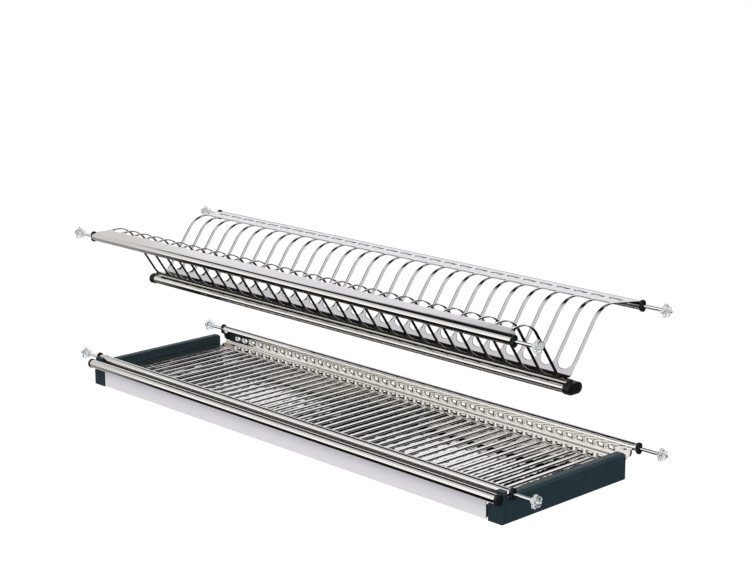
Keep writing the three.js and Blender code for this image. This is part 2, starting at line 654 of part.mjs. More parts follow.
const lipCapFace = disk(0, -lipDrop, lipCapRadius, seatGap, seatGap + lipCapThickness, lipCapSteps);
const lipBore = lipRadius - frontSheetThickness / 2;
const lipCapPlug = disk(0, -lipDrop, lipBore - seatGap, -lipCapPlugLength, lipCapThickness / 2, lipCapSteps);
const lipCap = toGeometry(join(toSolid(lipCapFace), [lipCapPlug]));
add(lowerTier, 'lip_cap_right', lipCap, blackPlastic, lipHalf, lipY);
add(lowerTier, 'lip_cap_left', lipCap.clone(), blackPlastic, -lipHalf, lipY, Math.PI);

// The origin is in the middle of the whole rack's underside
const bounds = new THREE.Box3().setFromObject(rack);
const underside = bounds.getCenter(new THREE.Vector3());
rack.position.set(-underside.x, -underside.y, -bounds.min.z);

export default rack;
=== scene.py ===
import bisect
import math

import bmesh
import bpy
from mathutils import Matrix, Vector


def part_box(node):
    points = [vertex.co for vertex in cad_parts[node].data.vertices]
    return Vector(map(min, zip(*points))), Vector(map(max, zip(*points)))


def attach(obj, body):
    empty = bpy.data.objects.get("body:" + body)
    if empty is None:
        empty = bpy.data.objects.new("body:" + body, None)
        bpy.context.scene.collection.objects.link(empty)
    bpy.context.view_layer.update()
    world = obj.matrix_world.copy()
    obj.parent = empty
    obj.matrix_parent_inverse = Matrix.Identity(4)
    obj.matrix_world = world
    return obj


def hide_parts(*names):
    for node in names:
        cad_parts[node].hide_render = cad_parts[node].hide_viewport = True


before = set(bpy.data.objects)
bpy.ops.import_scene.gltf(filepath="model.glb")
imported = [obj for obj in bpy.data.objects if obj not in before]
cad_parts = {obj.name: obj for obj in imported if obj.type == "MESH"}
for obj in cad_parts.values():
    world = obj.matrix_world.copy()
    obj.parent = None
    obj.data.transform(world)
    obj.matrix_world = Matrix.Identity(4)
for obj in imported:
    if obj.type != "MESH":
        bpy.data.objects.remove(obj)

for start_object in ("Cube", "Light", "Camera"):
    if start_object in bpy.data.objects:
        bpy.data.objects.remove(bpy.data.objects[start_object])
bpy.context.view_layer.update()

# The plate comb is one sheet of stainless steel, slotted flat and then bent: arched strips in front, a trough
# floor, arched strips behind, and a flange with ovals. Every cut edge is curled down, and both long edges are
# rolled round the rail tubes. Only the outer face is mirror-polished; underside and cut edges are painted
# near black, as painted shade.
sheet = 0.001
seat = 0.0003  # clearance between pieces that touch
weld_distance = 0.00001
strip_count = 29
strip_pitch = 0.0272
strip_width = 0.0046
gap_half = (strip_pitch - strip_width) / 2
roll_turn = math.radians(250)
roll_steps = 22
fold_radius = 0.004
fold_steps = 6
comb_floor_drop = 0.067  # from the upper rail axes to the trough floor
front_arch = dict(radius=0.033, inset=0.0292, drop=0.0235, leg=math.radians(56), steps=18)
rear_arch = dict(radius=0.0368, inset=0.041, drop=0.0295, leg=math.radians(54), steps=16)
front_notch = dict(rise=0.0035, corner=0.008)
rear_notch = dict(rise=0.007, corner=gap_half)
front_flange = dict(width=0.018, corner=0.005)
rear_flange = dict(width=0.039, corner=0.003)
flange_oval = dict(inset=0.0165, length=0.014, width=0.0048)
comb_curl = dict(width=0.0009, depth=0.0008)  # over what width a cut edge bends down, and how far
oval_curl = dict(width=0.0014, depth=0.002)


def axis_of(node):
    """Where a long piece's axis crosses the plane of Y and Z."""
    low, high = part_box(node)
    return (low + high).yz / 2


def arc(centre, radius, start, end, steps):
    """Points round part of a circle, or its first point alone for no steps."""
    turns = [start + (end - start) * i / max(steps, 1) for i in range(steps + 1)]
    return [centre + radius * Vector((math.cos(t), math.sin(t))) for t in turns]


def fold(before, corner, after, radius):
    """The rounded corner of a bent sheet."""
    back = (before - corner).normalized()
    ahead = (after - corner).normalized()
    half = back.angle(ahead) / 2
    middle = corner + (back + ahead).normalized() * radius / math.sin(half)
    first = corner + back * radius / math.tan(half) - middle
    last = corner + ahead * radius / math.tan(half) - middle
    start = math.atan2(first.y, first.x)
    turn = math.atan2(first.x * last.y - first.y * last.x, first.dot(last))
    return arc(middle, radius, start, start + turn, fold_steps)


def touch_angle(low, low_radius, high, high_radius):
    """The angle at which a flat sheet touches two rolls that it lies over."""
    between = high - low
    slope = math.atan2(between.y, between.x) + math.asin((high_radius - low_radius) / between.length)
    return slope + math.pi / 2


def follow(line):
    """The length along a bent sheet's line to each of its points, and a function that places a point of the
    sheet from its X, its length along the line and its lift off the sheet."""
    lengths = [0.0]
    for before, after in zip(line, line[1:]):
        lengths.append(lengths[-1] + (after - before).length)
    normals = []
    for i in range(len(line)):
        along = (line[min(i + 1, len(line) - 1)] - line[max(i - 1, 0)]).normalized()
        normals.append(Vector((-along.y, along.x)))

    def place(x, length, lift=0.0):
        i = min(max(bisect.bisect_right(lengths, length) - 1, 0), len(line) - 2)
        share = (length - lengths[i]) / (lengths[i + 1] - lengths[i])
        normal = normals[i].lerp(normals[i + 1], share).normalized()
        point = line[i].lerp(line[i + 1], share) + normal * lift
        return Vector((x, point.x, point.y))

    return lengths, place


def length_where(line, lengths, y, start=0.0):
    """The length along the line, from start on, at which it crosses y."""
    for i in range(len(line) - 1):
        a, b = line[i], line[i + 1]
        if lengths[i + 1] > start and min(a.x, b.x) <= y <= max(a.x, b.x) and a.x != b.x:
            return lengths[i] + (y - a.x) / (b.x - a.x) * (lengths[i + 1] - lengths[i])


def rows_between(lengths, start, end):
    """Where a net has its rows between two lengths: at each point of the line, and closer on straights."""
    margin = 0.0002
    longest = 0.006
    stops = [start, *(s for s in lengths if start + margin < s < end - margin), end]
    rows = [start]
    for before, after in zip(stops, stops[1:]):
        parts = math.ceil((after - before) / longest)
        rows += [before + (after - before) * (i + 1) / parts for i in range(parts)]
    return rows


def curl_rows(curl):
    """The distances from a cut edge at which a net follows its curl, each with how far the sheet is down."""
    shares = (0, 0.25, 0.54, 1)
    return [(curl["width"] * share, -curl["depth"] * (1 - share) ** 2) for share in shares]


frame_margin = 0.0017  # from a hole's edge to the plain sheet beyond it


def cell_columns(middle, half_cell, steps):
    """The X of each column of a net across one cell."""
    return [middle + half_cell * (2 * j / (2 * steps - 1) - 1) for j in range(2 * steps)]


def pierced_cell(mesh, place, middle, half_cell, hole, rows, steps):
    """One cell of the sheet, netted from the curled edge of its hole out to the cell's border."""
    low, high = hole["low"], hole["high"]

    def ends_and_sides(side_x, low_end, high_end):
        right = [(middle + side_x, s) for s in rows]
        left = [(middle - side_x, s) for s in reversed(rows)]
        return low_end + right + high_end + left

    def hole_edge(grown):
        def end(corner, length, first_turn):
            radius = corner + grown
            points = []
            for i in range(2 * steps):
                turn = first_turn + math.pi * (i + 0.5) / (2 * steps)
                side = math.copysign(hole["half"] - corner, math.cos(turn))
                points.append((middle + side + radius * math.cos(turn), length + radius * math.sin(turn)))
            return points

        low_end = end(hole["low_corner"], low + hole["low_corner"], math.pi)
        high_end = end(hole["high_corner"], high - hole["high_corner"], 0)
        return ends_and_sides(hole["half"] + grown, low_end, high_end)

    columns = cell_columns(middle, half_cell, steps)
    border = ends_and_sides(
        half_cell,
        [(x, low - frame_margin) for x in columns],
        [(x, high + frame_margin) for x in reversed(columns)],
    )
    loops = [[place(x, s, lift) for x, s in hole_edge(grown)] for grown, lift in curl_rows(hole["curl"])]
    loops.append([place(x, s) for x, s in border])
    loops = [[mesh.verts.new(point) for point in loop] for loop in loops]
    for inner, outer in zip(loops, loops[1:]):
        for i in range(len(inner)):
            mesh.faces.new((outer[i - 1], outer[i], inner[i], inner[i - 1]))


def plain_net(mesh, place, rows, columns):
    """A net of plain sheet; columns gives each row's pairs of X and lift, from left to right."""
    before = None
    for row in rows:
        after = [mesh.verts.new(place(x, row, lift)) for x, lift in columns(row)]
        for i in range(1, len(after) if before else 0):
            mesh.faces.new((before[i - 1], before[i], after[i], after[i - 1]))
        before = after


def both_ends(mesh, place, rows, columns):
    """The same net at the sheet's right end and at its left end."""
    plain_net(mesh, place, rows, columns)
    plain_net(mesh, place, rows, lambda row: [(-x, lift) for x, lift in reversed(columns(row))])


def piece_from(name, mesh):
    """Turns a finished mesh into an object in the scene."""
    data = bpy.data.meshes.new(name)
    mesh.to_mesh(data)
    mesh.free()
    piece = bpy.data.objects.new(name, data)
    bpy.context.scene.collection.objects.link(piece)
    return piece


def sheet_piece(name, mesh):
    """Welds the nets into one thick sheet, with its underside and cut edges in a second material."""
    bmesh.ops.remove_doubles(mesh, verts=mesh.verts, dist=weld_distance)
    piece = piece_from(name, mesh)
    skin = piece.modifiers.new("sheet thickness", "SOLIDIFY")
    skin.thickness = sheet
    skin.offset = 0
    skin.use_even_offset = False
    skin.material_offset = 1
    skin.material_offset_rim = 1
    piece.data.shade_smooth()
    return piece


def ease_edges(piece, width, segments=2, sharp=38, clamped=False):
    """Rounds the edges that turn by more than so many degrees, and shades the rest smooth."""
    bevel = piece.modifiers.new("eased edges", "BEVEL")
    bevel.width = width
    bevel.segments = segments
    bevel.limit_method = "ANGLE"
    bevel.angle_limit = math.radians(sharp)
    bevel.use_clamp_overlap = clamped
    bevel.harden_normals = False
    piece.data.shade_smooth()
    weight = piece.modifiers.new("flat faces stay flat", "WEIGHTED_NORMAL")
    weight.keep_sharp = False


upper_front = axis_of("upper_front_rail")
upper_rear = axis_of("upper_rear_rail")
rail_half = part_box("upper_front_rail")[1].x
tube_radius = (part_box("upper_front_rail")[1].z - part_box("upper_front_rail")[0].z) / 2
roll_radius = tube_radius + seat + sheet / 2
roll_outer = roll_radius + sheet / 2
comb_floor = upper_rear.y - comb_floor_drop

front_centre = upper_front + Vector((front_arch["inset"], -front_arch["drop"]))
rear_centre = upper_rear - Vector((rear_arch["inset"], rear_arch["drop"]))
front_touch = touch_angle(upper_front, roll_radius, front_centre, front_arch["radius"])
rear_touch = touch_angle(rear_centre, rear_arch["radius"], upper_rear, roll_radius)
front_leg_turn = math.pi / 2 - front_arch["leg"]
rear_leg_turn = math.pi / 2 + rear_arch["leg"]
front_top = arc(front_centre, front_arch["radius"], front_leg_turn, front_leg_turn, 0)[0]
rear_top = arc(rear_centre, rear_arch["radius"], rear_leg_turn, rear_leg_turn, 0)[0]
front_leg = (front_top.y - comb_floor) / math.sin(front_arch["leg"])
rear_leg = (rear_top.y - comb_floor) / math.sin(rear_arch["leg"])
front_corner = Vector((front_top.x + front_leg * math.cos(front_arch["leg"]), comb_floor))
rear_corner = Vector((rear_top.x - rear_leg * math.cos(rear_arch["leg"]), comb_floor))

front_roll = arc(upper_front, roll_radius, front_touch + roll_turn, front_touch, roll_steps)
rear_roll = arc(upper_rear, roll_radius, rear_touch, rear_touch - roll_turn, roll_steps)
comb_line = [
    *front_roll,
    *arc(front_centre, front_arch["radius"], front_touch, front_leg_turn, front_arch["steps"]),
    *fold(front_top, front_corner, rear_corner, fold_radius),
    *fold(front_corner, rear_corner, rear_top, fold_radius),
    *arc(rear_centre, rear_arch["radius"], rear_leg_turn, rear_touch, rear_arch["steps"]),
    *rear_roll,
]
comb_lengths, on_comb = follow(comb_line)
front_roll_end = comb_lengths[len(front_roll) - 1]
front_foot = front_corner.x - front_notch["rise"] * math.cos(front_arch["leg"])
rear_foot = rear_corner.x + rear_notch["rise"] * math.cos(rear_arch["leg"])
oval_middle = length_where(comb_line, comb_lengths, upper_rear.x - flange_oval["inset"], comb_lengths[-1] / 2)
comb_holes = [
    dict(
        half=gap_half,
        low=length_where(comb_line, comb_lengths, upper_front.x + front_flange["width"], front_roll_end),
        high=length_where(comb_line, comb_lengths, front_foot),
        low_corner=front_flange["corner"],
        high_corner=front_notch["corner"],
        curl=comb_curl,
    ),
    dict(
        half=gap_half,
        low=length_where(comb_line, comb_lengths, rear_foot),
        high=length_where(comb_line, comb_lengths, upper_rear.x - rear_flange["width"]),
        low_corner=rear_notch["corner"],
        high_corner=rear_flange["corner"],
        curl=comb_curl,
    ),
    dict(
        half=flange_oval["length"] / 2,
        low=oval_middle - flange_oval["width"] / 2,
        high=oval_middle + flange_oval["width"] / 2,
        low_corner=flange_oval["width"] / 2,
        high_corner=flange_oval["width"] / 2,
        curl=oval_curl,
    ),
]


def net_sheet(mesh, place, lengths, holes, middles, half_cell, steps):
    """Nets a sheet with the same holes in each of its cells, and returns the rows at a cell's border."""
    border_rows = []
    start = 0.0
    digits = 7  # so that neighbouring cells share their column
    columns = sorted({round(x, digits) for middle in middles for x in cell_columns(middle, half_cell, steps)})
    for hole in [*holes, None]:
        end = hole["low"] - frame_margin if hole else lengths[-1]
        rows = rows_between(lengths, start, end)
        plain_net(mesh, place, rows, lambda row: [(x, 0.0) for x in columns])
        border_rows += rows
        if hole:
            sides_start = hole["low"] + hole["low_corner"]
            sides_end = hole["high"] - hole["high_corner"]
            sides = rows_between(lengths, sides_start, sides_end)
            sides = sides if sides[-1] > sides[0] else sides[:1]
            for middle in middles:
                pierced_cell(mesh, place, middle, half_cell, hole, sides, steps)
            border_rows += sides
            start = hole["high"] + frame_margin
    return border_rows


comb_net = bmesh.new()
gap_middles = [(i + 1 - strip_count / 2) * strip_pitch for i in range(strip_count - 1)]
comb_rows = net_sheet(comb_net, on_comb, comb_lengths, comb_holes, gap_middles, strip_pitch / 2, steps=6)

# Beyond the last strips only the rails go on, and the flanges taper to them
last_strip = (strip_count - 1) / 2 * strip_pitch
comb_end = last_strip + strip_width / 2
end_margin = 0.002
past = rail_half + end_margin
taper_end = rail_half - end_margin


def comb_end_columns(row):
    """The outer half of the last strip, or the flange, floor or roll beyond it, in one row of the net."""
    y = on_comb(0, row).y
    on_flange = min(y - upper_front.x, upper_rear.x - y)
    flange = front_flange if y < front_corner.x else rear_flange
    in_gap = any(hole["low"] < row < hole["high"] for hole in comb_holes[:2])
    if on_flange < roll_outer:
        edge = rail_half
    elif on_flange < flange["width"]:
        edge = taper_end + (comb_end - taper_end) * (on_flange - roll_outer) / (flange["width"] - roll_outer)
    else:
        edge = comb_end
    curled = [(edge - inward, lift if in_gap else 0.0) for inward, lift in reversed(curl_rows(comb_curl))]
    return [(last_strip, 0.0), *curled]


both_ends(comb_net, on_comb, comb_rows, comb_end_columns)
comb = sheet_piece("plate_comb_sheet", comb_net)


def effect(name, inputs, outputs):
    """A shader node group with named inputs and outputs, its group nodes, and a function that adds a node."""
    tree = bpy.data.node_groups.new(name, "ShaderNodeTree")
    for label, kind, value in inputs:
        socket = tree.interface.new_socket(label, in_out="INPUT", socket_type=f"NodeSocket{kind}")
        socket.default_value = value
    for label, kind in outputs:
        tree.interface.new_socket(label, in_out="OUTPUT", socket_type=f"NodeSocket{kind}")
    given = tree.nodes.new("NodeGroupInput")
    result = tree.nodes.new("NodeGroupOutput")
    return tree, given.outputs, result.inputs, lambda *what, **how: add_node(tree, *what, **how)


def add_node(tree, kind, links=None, **settings):
    """Adds a shader node; links maps its inputs to sockets or to values."""
    node = tree.nodes.new(f"ShaderNode{kind}")
    for key, value in settings.items():
        setattr(node, key, value)
    for label, source in (links or {}).items():
        if isinstance(source, bpy.types.NodeSocket):
            tree.links.new(source, node.inputs[label])
        else:
            node.inputs[label].default_value = source
    return node


def put_out(tree, result, **sources):
    """Links an effect's outputs to the sockets that feed them."""
    for label, source in sources.items():
        tree.links.new(source, result[label])


# Mirror polishing leaves long faint streaks along the sheet, cloudy haze where it was wiped, and slight waves
# in the thin metal that bend its reflections.
streak_share = 0.4
polish, given, result, node = effect(
    "Mirror polish",
    [
        ("Bright", "Color", (0.77, 0.755, 0.735, 1)),
        ("Dull", "Color", (0.69, 0.67, 0.635, 1)),
        ("Least Haze", "Float", 0.02),
        ("Most Haze", "Float", 0.075),
        ("Waves", "Float", 0.00006),
        ("Waves per Metre", "Float", 38.0),
        ("Wave Stretch", "Vector", (1.0, 1.0, 1.0)),
    ],
    [("Color", "Color"), ("Roughness", "Float"), ("Normal", "Vector")],
)
position = node("TexCoord").outputs["Object"]
clouds = node("TexNoise", {"Vector": position, "Scale": 22.0, "Detail": 3.0, "Roughness": 0.55})
stretched = node("Mapping", {"Vector": position, "Scale": (14.0, 1100.0, 1100.0)})
streaks = node("TexNoise", {"Vector": stretched.outputs["Vector"], "Scale": 1.0, "Detail": 2.0})
wear = node("Mix", {0: streak_share, 2: clouds.outputs["Fac"], 3: streaks.outputs["Fac"]})
haze = node("MapRange", {
    "Value": wear.outputs[0],
    "From Min": 0.35,
    "From Max": 0.7,
    "To Min": given["Least Haze"],
    "To Max": given["Most Haze"],
})
tint = node("Mix", {0: wear.outputs[0], 6: given["Bright"], 7: given["Dull"]}, data_type="RGBA")
wave_place = node("VectorMath", {0: position, 1: given["Wave Stretch"]}, operation="MULTIPLY").outputs[0]
swell = node("TexNoise", {"Vector": wave_place, "Scale": given["Waves per Metre"], "Detail": 1.0})
waves = node("Bump", {"Height": swell.outputs["Fac"], "Distance": given["Waves"], "Strength": 1.0})
put_out(polish, result, Color=tint.outputs[2], Roughness=haze.outputs[0], Normal=waves.outputs[0])


def finish_with(name, group, values, metallic, **constants):
    """A material whose colour, roughness and normal come from an effect, with constants on the shader."""
    material = bpy.data.materials.new(name)
    material.use_nodes = True
    tree = material.node_tree
    shader = tree.nodes["Principled BSDF"]
    effect_node = tree.nodes.new("ShaderNodeGroup")
    effect_node.node_tree = group
    for label, value in values.items():
        effect_node.inputs[label].default_value = value
    tree.links.new(effect_node.outputs["Color"], shader.inputs["Base Color"])
    tree.links.new(effect_node.outputs["Roughness"], shader.inputs["Roughness"])
    tree.links.new(effect_node.outputs["Normal"], shader.inputs["Normal"])
    shader.inputs["Metallic"].default_value = metallic
    for label, value in constants.items():
        shader.inputs[label.replace("_", " ")].default_value = value
    return material


polished_steel = finish_with("polished stainless steel", polish, {}, metallic=1.0)
# Undersides and cut edges are painted near black: painted shade for the shade under and inside the sheets
painted_shade_values = {
    "Bright": (0.025, 0.025, 0.024, 1),
    "Dull": (0.01, 0.01, 0.01, 1),
    "Least Haze": 0.3,
    "Most Haze": 0.45,
}
painted_shade_steel = finish_with("dark underside steel", polish, painted_shade_values, metallic=1.0)


def settle(piece, material, body, slot, *replaced):
    """Gives a finished piece its material, the body that carries it and the CAD nodes that it stands for."""
    piece.data.materials.clear()
    piece.data.materials.append(material)
    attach(piece, body)
    if replaced:
        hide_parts(*replaced)
    return piece


settle(comb, polished_steel, "rack", "stainless", "plate_comb")
# The comb's underside and cut edges take the near-black steel of painted shade
comb.data.materials.append(painted_shade_steel)

# The rail tubes are thin round steel tubes, one in each rolled edge of the two sheets. The sheet's roll grips
# them, and the support rods slide inside them.
tube_wall = 0.0006
rail_axes = {
    "upper_front": upper_front,
    "upper_rear": upper_rear,
    "lower_front": axis_of("lower_front_rail"),
    "lower_rear": axis_of("lower_rear_rail"),
}
nowhere = Vector((0, 0))


def circle(centre, radius, steps):
    """A closed round outline."""
    return arc(centre, radius, 0, math.tau, steps)[1:]


def prism(mesh, outline, place, start, end):
    """Adds a solid to the mesh: an outline pushed from start to end, put in space by place(a, b, depth)."""
    near_spot = 1e-7
    outline = [p for i, p in enumerate(outline) if (p - outline[i - 1]).length > near_spot]
    rings = [[mesh.verts.new(place(p.x, p.y, depth)) for p in outline] for depth in (start, end)]
    for i in range(len(outline)):
        mesh.faces.new((rings[0][i - 1], rings[0][i], rings[1][i], rings[1][i - 1]))
    mesh.faces.new(rings[0][::-1])
    mesh.faces.new(rings[1])


def along_x(a, b, depth):
    """Places an outline in the plane of Y and Z, pushed along X."""
    return Vector((depth, a, b))


def solid(name, *prisms):
    """A mesh object made of prisms, each an outline, its place, start and end, with faces turned outward."""
    mesh = bmesh.new()
    for outline, place, start, end in prisms:
        prism(mesh, outline, place, start, end)
    bmesh.ops.recalc_face_normals(mesh, faces=mesh.faces)
    return piece_from(name, mesh)


def combine(piece, tool, operation):
    """Cuts the tool out of the piece, or joins the two, and deletes the tool."""
    modifier = piece.modifiers.new(operation, "BOOLEAN")
    modifier.operation = operation
    modifier.solver = "MANIFOLD"
    modifier.object = tool
    result = bpy.data.meshes.new_from_object(piece.evaluated_get(bpy.context.evaluated_depsgraph_get()))
    piece.modifiers.clear()
    piece.data = result
    bpy.data.objects.remove(tool)


def cut(piece, *prisms):
    """Cuts prisms out of a piece."""
    combine(piece, solid("tool", *prisms), "DIFFERENCE")


def join(piece, *prisms):
    """Joins prisms to a piece."""
    combine(piece, solid("tool", *prisms), "UNION")


def rod_along_x(radius, start, end, steps=32, centre=nowhere):
    """The prism of a round bar along X."""
    return circle(centre, radius, steps), along_x, start, end


tube = solid("rail_tube", rod_along_x(tube_radius, -rail_half, rail_half))
cut(tube, rod_along_x(tube_radius - tube_wall, -past, past))
ease_edges(tube, 0.0001, segments=1)
for name, axis in rail_axes.items():
    rail = tube if name == "upper_front" else tube.copy()
    if rail is not tube:
        bpy.context.scene.collection.objects.link(rail)
    rail.name = f"{name}_tube"
    rail.location = (0, axis.x, axis.y)
    settle(rail, polished_steel, "rack", "stainless", f"{name}_rail")

# The rail caps are pushed into the ends of the rail tubes. They are moulded in black plastic with a lobe
# above and below the rod, and their bore guides the rod.
cap_thickness = 0.0035
cap_lobe = dict(radius=0.0047, offset=0.0026, steps=24)
plug_length = 0.008
rod_radius = 0.00225
rod_bore = rod_radius + seat

waist = math.asin(cap_lobe["offset"] / cap_lobe["radius"])
lobe_up = Vector((0, cap_lobe["offset"]))
cap_outline = [
    *arc(lobe_up, cap_lobe["radius"], -waist, math.pi + waist, cap_lobe["steps"]),
    *arc(-lobe_up, cap_lobe["radius"], math.pi - waist, math.tau + waist, cap_lobe["steps"]),
]
cap_face = seat + cap_thickness
rail_cap = solid("rail_cap", (cap_outline, along_x, seat, cap_face))
join(rail_cap, rod_along_x(tube_radius - tube_wall - seat, -plug_length, cap_face / 2))
cut(rail_cap, rod_along_x(rod_bore, -2 * plug_length, 2 * plug_length))
ease_edges(rail_cap, 0.0006, segments=3)

# Moulded plastic has a fine even grain from the tool, slight clouding in its colour, and edges that handling
# has rubbed paler.
cloud_share = 0.12
moulded, given, result, node = effect(
    "Moulded plastic",
    [
        ("Color", "Color", (0.02, 0.022, 0.025, 1)),
        ("Rubbed Color", "Color", (0.07, 0.075, 0.08, 1)),
        ("Roughness", "Float", 0.4),
        ("Roughness Change", "Float", 0.25),
        ("Grain Depth", "Float", 0.00001),
        ("Edge Width", "Float", 0.0006),
    ],
    [("Color", "Color"), ("Roughness", "Float"), ("Normal", "Vector")],
)
position = node("TexCoord").outputs["Object"]
clouds = node("TexNoise", {"Vector": position, "Scale": 60.0, "Detail": 3.0})
speckle = node("TexNoise", {"Vector": position, "Scale": 2600.0, "Detail": 1.0})
softened = node("Bevel", {"Radius": given["Edge Width"]}, samples=4)
true_normal = node("NewGeometry").outputs["Normal"]
agreement = node("VectorMath", {0: softened.outputs["Normal"], 1: true_normal}, operation="DOT_PRODUCT")
edge = node("MapRange", {"Value": agreement.outputs["Value"], "From Min": 0.995, "From Max": 0.86})
broken_edge = node("Math", {0: edge.outputs[0], 1: clouds.outputs["Fac"]}, operation="MULTIPLY")
rubbed = given["Rubbed Color"]
clouded = node("Mix", {0: clouds.outputs["Fac"], 6: given["Color"], 7: rubbed}, data_type="RGBA")
mostly_plain = node("Mix", {0: cloud_share, 6: given["Color"], 7: clouded.outputs[2]}, data_type="RGBA")
colour = node("Mix", {0: broken_edge.outputs[0], 6: mostly_plain.outputs[2], 7: rubbed}, data_type="RGBA")
roughness = node(
    "Math",
    {0: clouds.outputs["Fac"], 1: given["Roughness Change"], 2: given["Roughness"]},
    operation="MULTIPLY_ADD",
)
grain = node("Bump", {"Height": speckle.outputs["Fac"], "Distance": given["Grain Depth"], "Strength": 1.0})
put_out(moulded, result, Color=colour.outputs[2], Roughness=roughness.outputs[0], Normal=grain.outputs[0])

black_values = {
    "Color": (0.004, 0.005, 0.006, 1),
    "Rubbed Color": (0.045, 0.05, 0.055, 1),
    "Roughness": 0.26,
}
black_plastic = finish_with("black cap plastic", moulded, black_values, metallic=0.0, Specular_IOR_Level=0.3)
sides = {"left": -1, "right": 1}


def set_in_rail_ends(pattern, kind, material, slot, node, body=None):
    """Sets a copy of a piece in each end of each rail, turned to face outward. Without a body, each copy
    rides on the support of its own rail end."""
    for name, axis in rail_axes.items():
        for side, facing in sides.items():
            piece = pattern.copy()
            bpy.context.scene.collection.objects.link(piece)
            piece.name = f"{name}_{side}_{kind}"
            piece.location = (facing * rail_half, axis.x, axis.y)
            piece.rotation_euler.z = 0 if facing > 0 else math.pi
            settle(piece, material, body or f"{name}_{side}_support", slot, f"{name}_{side}_{node}")
    bpy.data.objects.remove(pattern)


set_in_rail_ends(rail_cap, "cap", black_plastic, "black_plastic", "rail_cap", "rack")

# The support rods are turned from bright chromed steel. They telescope out of the rail caps and step down to
# a slim pin at the outer end, which passes through the wall disc into a hole in the cabinet's side.
rod_hidden = 0.06
pin = dict(radius=0.0016, chamfer=0.0005)
pin_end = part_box("upper_front_right_rod")[1].x - rail_half
wall_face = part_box("upper_front_right_disc")[1].x - rail_half
disc_thickness = 0.005
rod_step = wall_face - disc_thickness / 2


def turned(name, profile):
    """A solid turned about X from a profile of places along X and radii."""
    steps = 40
    mesh = bmesh.new()
    rings = []
    for x, radius in profile:
        if radius:
            rings.append([mesh.verts.new((x, *point)) for point in circle(nowhere, radius, steps)])
        else:
            rings.append([mesh.verts.new((x, 0, 0))] * steps)
    for near, far in zip(rings, rings[1:]):
        for i in range(steps):
            corners = dict.fromkeys((near[i - 1], near[i], far[i], far[i - 1]))
            mesh.faces.new(list(corners))
    bmesh.ops.recalc_face_normals(mesh, faces=mesh.faces)
    return piece_from(name, mesh)


rod = turned("rod", [
    (-rod_hidden, 0),
    (-rod_hidden, rod_radius),
    (rod_step, rod_radius),
    (rod_step, pin["radius"]),
    (pin_end - pin["chamfer"], pin["radius"]),
    (pin_end, pin["radius"] - pin["chamfer"]),
    (pin_end, 0),
])
ease_edges(rod, 0.0002)
chrome_values = {
    "Bright": (0.87, 0.88, 0.89, 1),
    "Dull": (0.78, 0.79, 0.8, 1),
    "Least Haze": 0.02,
    "Most Haze": 0.08,
}
chromed_steel = finish_with("chromed rod steel", polish, chrome_values, metallic=1.0)
set_in_rail_ends(rod, "support_rod", chromed_steel, "chrome", "rod")

# The wall discs are clear plastic flowers with five petals and a short hub. Each stands on its rod's step and
# spreads the rack's load on the cabinet's side.
disc_radius = 0.0085
petal_depth = 0.0019
petals = 5
petal_points = 20
hub = dict(radius=0.0044, length=0.003)
disc_inner = wall_face - disc_thickness


def petal_edge(turn):
    """The point of the flower's edge at a turn from its top."""
    radius = disc_radius - petal_depth * (1 - math.cos(petals * turn)) / 2
    return Vector((-radius * math.sin(turn), radius * math.cos(turn)))


flower_points = petals * petal_points
flower = [petal_edge(math.tau * i / flower_points) for i in range(flower_points)]
disc = solid("wall_disc", (flower, along_x, disc_inner, wall_face))
join(disc, rod_along_x(hub["radius"], disc_inner - hub["length"], disc_inner + sheet))
cut(disc, rod_along_x(rod_bore, disc_inner - 2 * hub["length"], rod_step + seat))
cut(disc, rod_along_x(pin["radius"] + seat, disc_inner, wall_face + sheet))
ease_edges(disc, 0.0011, segments=4)
clear_plastic = finish_with(
    "clear disc plastic",
    moulded,
    {
        "Color": (0.93, 0.95, 0.96, 1),
        "Rubbed Color": (0.8, 0.83, 0.85, 1),
        "Roughness": 0.0,
        "Roughness Change": 0.03,
        "Grain Depth": 0.0000005,
    },
    metallic=0.0,
    Transmission_Weight=0.9,
    IOR=1.49,
)
set_in_rail_ends(disc, "wall_disc", clear_plastic, "clear_plastic", "disc")

# The base rail is a roll-formed oval tube of polished steel under the trough. A flat spine along its top
# carries the comb's floor, and the rail stiffens the long sheet.
rail_low, rail_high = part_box("base_rail")
base_size = dict(width=0.024, height=0.012, wall=0.0012)
spine_width = 0.008
base_half = rail_high.x
base_centre = Vector(((rail_low.y + rail_high.y) / 2, rail_low.z + base_size["height"] / 2))
spine_low = base_centre.y + base_size["height"] / 2 - base_size["wall"] / 2


def oval(centre, length, width):
    """An outline with round ends, along its first axis."""
    steps = 24
    reach = Vector(((length - width) / 2, 0))
    quarter = math.pi / 2
    far = arc(centre + reach, width / 2, -quarter, quarter, steps)
    near = arc(centre - reach, width / 2, quarter, 3 * quarter, steps)
    return far + near


def base_oval(grown, start, end):
    """The prism of the rail's outline, grown all round."""
    outline = oval(base_centre, base_size["width"] + 2 * grown, base_size["height"] + 2 * grown)
    return outline, along_x, start, end


def yz_box(y0, y1, z0, z1):
    """A square-cornered outline in the plane of Y and Z."""
    return [Vector((y0, z0)), Vector((y1, z0)), Vector((y1, z1)), Vector((y0, z1))]


spine_front = base_centre.x - spine_width / 2
spine_back = base_centre.x + spine_width / 2
base_rail = solid("base_rail_tube", base_oval(0, -base_half, base_half))
join(base_rail, (yz_box(spine_front, spine_back, spine_low, rail_high.z), along_x, -base_half, base_half))
cut(base_rail, base_oval(-base_size["wall"], -past, past))
ease_edges(base_rail, 0.0003)
settle(base_rail, polished_steel, "rack", "stainless", "base_rail")

